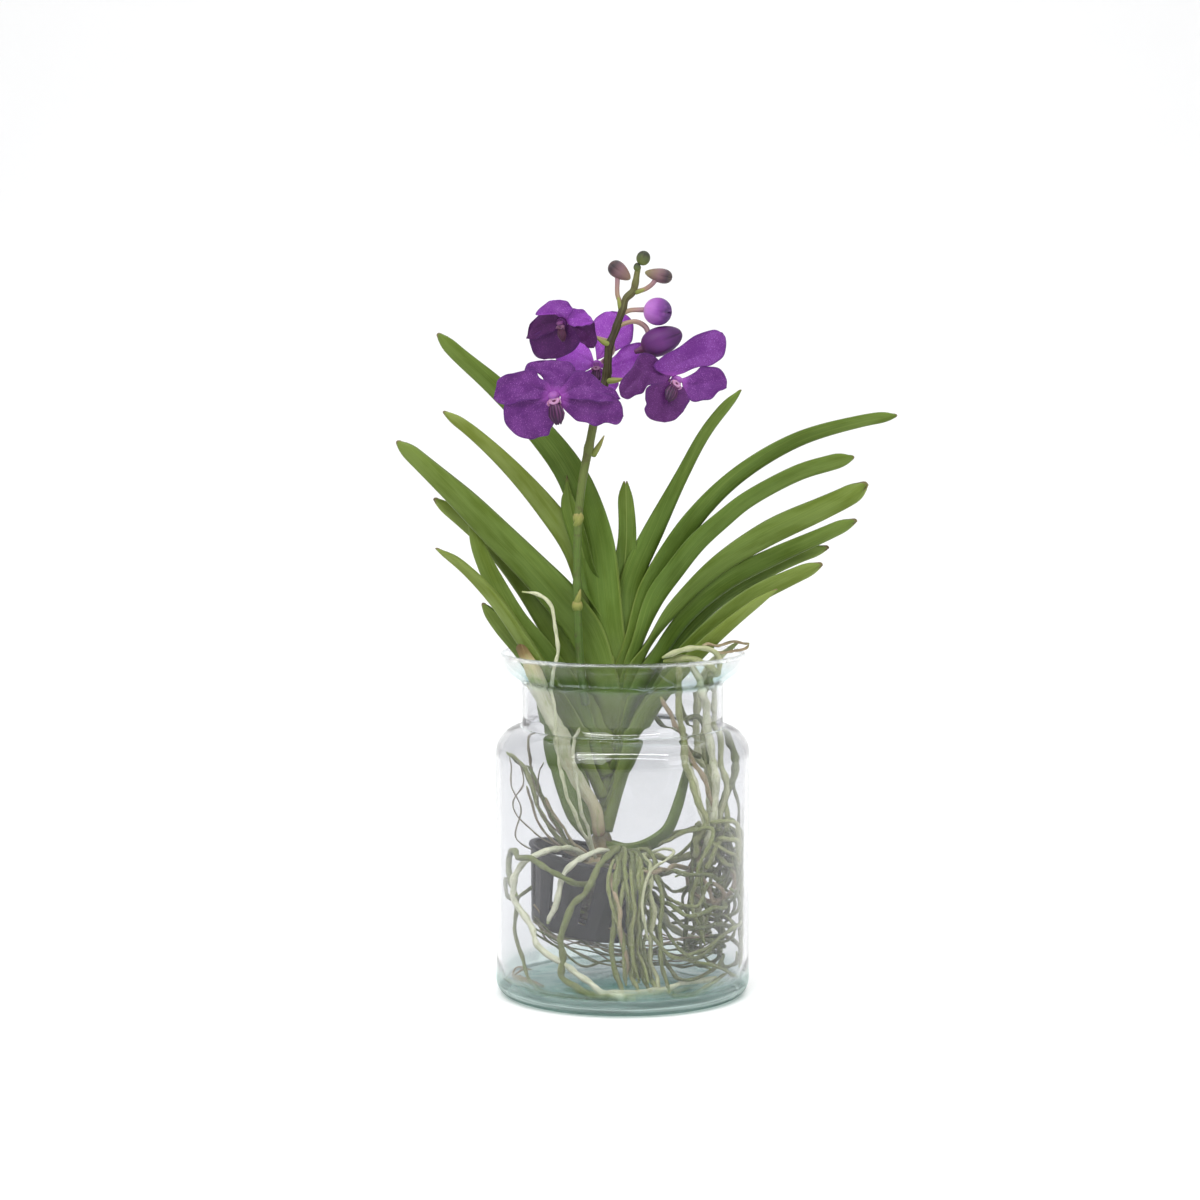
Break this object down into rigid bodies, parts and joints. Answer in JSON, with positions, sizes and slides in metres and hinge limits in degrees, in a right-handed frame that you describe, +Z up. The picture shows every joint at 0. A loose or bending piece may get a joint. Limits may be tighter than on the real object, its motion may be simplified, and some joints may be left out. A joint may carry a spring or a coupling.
{
  "type": "vanda orchid in a glass vase",
  "caption": "Vanda orchid in bloom with strap leaves and hanging roots, standing in a clear glass vase with a flared lip.",
  "frame": {"origin": "centre of the vase's flat underside", "axes": "+Z up along the vase's axis; -Y is the front, which faces the flowers; +X is to the right seen from the front"},
  "size_m": [0.3619, 0.185, 0.5394],
  "materials": {
    "clear_glass": "clear, faint green tint, polished",
    "basket_plastic": "dark moulded plastic, satin",
    "root_skin": "matt, grey-green velamen with pale stretches",
    "stem_green": "matt green stem",
    "dry_stub": "matt, dry and pale",
    "leaf_green": "waxy, satin",
    "spike_green": "satin olive green",
    "petal_violet": "velvety violet with a paler net",
    "lip_plum": "velvety dark plum",
    "bud_purple": "satin violet",
    "bud_olive": "satin olive and dusky pink"
  },
  "bodies": {
    "root": {"vase": "clear_glass", "basket": "basket_plastic", "roots": "root_skin", "stem": "stem_green", "cut_stub": "dry_stub", "leaf_centre": "leaf_green", "leaf_left_1": "leaf_green", "leaf_left_2": "leaf_green", "leaf_left_3": "leaf_green", "leaf_left_4": "leaf_green", "leaf_left_5": "leaf_green", "leaf_left_6": "leaf_green", "leaf_left_7": "leaf_green", "leaf_left_8": "leaf_green", "leaf_right_1": "leaf_green", "leaf_right_2": "leaf_green", "leaf_right_3": "leaf_green", "leaf_right_4": "leaf_green", "leaf_right_5": "leaf_green", "leaf_right_6": "leaf_green", "leaf_right_7": "leaf_green", "leaf_right_8": "leaf_green", "leaf_old": "leaf_green", "flower_spike": "spike_green", "flower_front": "petal_violet", "flower_front_lip": "lip_plum", "flower_top_left": "petal_violet", "flower_top_left_lip": "lip_plum", "flower_back": "petal_violet", "flower_back_lip": "lip_plum", "flower_right": "petal_violet", "flower_right_lip": "lip_plum", "bud_large": "bud_purple", "bud_medium": "bud_purple", "bud_young_left": "bud_olive", "bud_young_right": "bud_olive", "bud_top": "bud_olive"}
  },
  "joints": []
}
